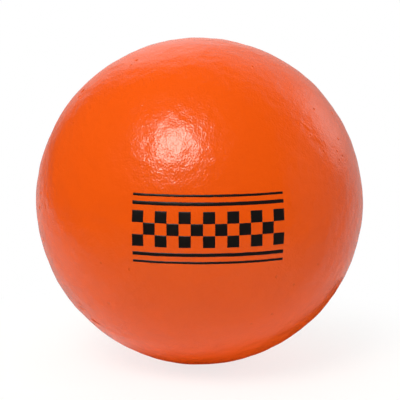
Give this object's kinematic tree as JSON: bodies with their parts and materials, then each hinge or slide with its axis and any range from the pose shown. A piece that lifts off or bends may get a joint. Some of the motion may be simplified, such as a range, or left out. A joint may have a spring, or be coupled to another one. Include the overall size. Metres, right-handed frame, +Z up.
{
  "type": "coated foam ball",
  "caption": "Soft round play ball with a foam core, a sealing coat and a tough grained orange skin, vented at the back, resting on the small flat that its weight makes.",
  "frame": {"origin": "middle of the flat spot that the ball rests on", "axes": "+Z up through the ball's centre, -Y the printed side, +Y the vent"},
  "size_m": [0.12, 0.1199, 0.1196],
  "materials": {
    "skin": "sprayed elastic polyurethane, satin with a fine leathery grain",
    "seal": "clear elastic polyurethane soaked into the foam's outer cells",
    "foam": "ground open-cell polyurethane foam, matte"
  },
  "bodies": {
    "root": {"colour_skin": "skin", "sealing_coat": "seal", "foam_core": "foam"}
  },
  "joints": []
}
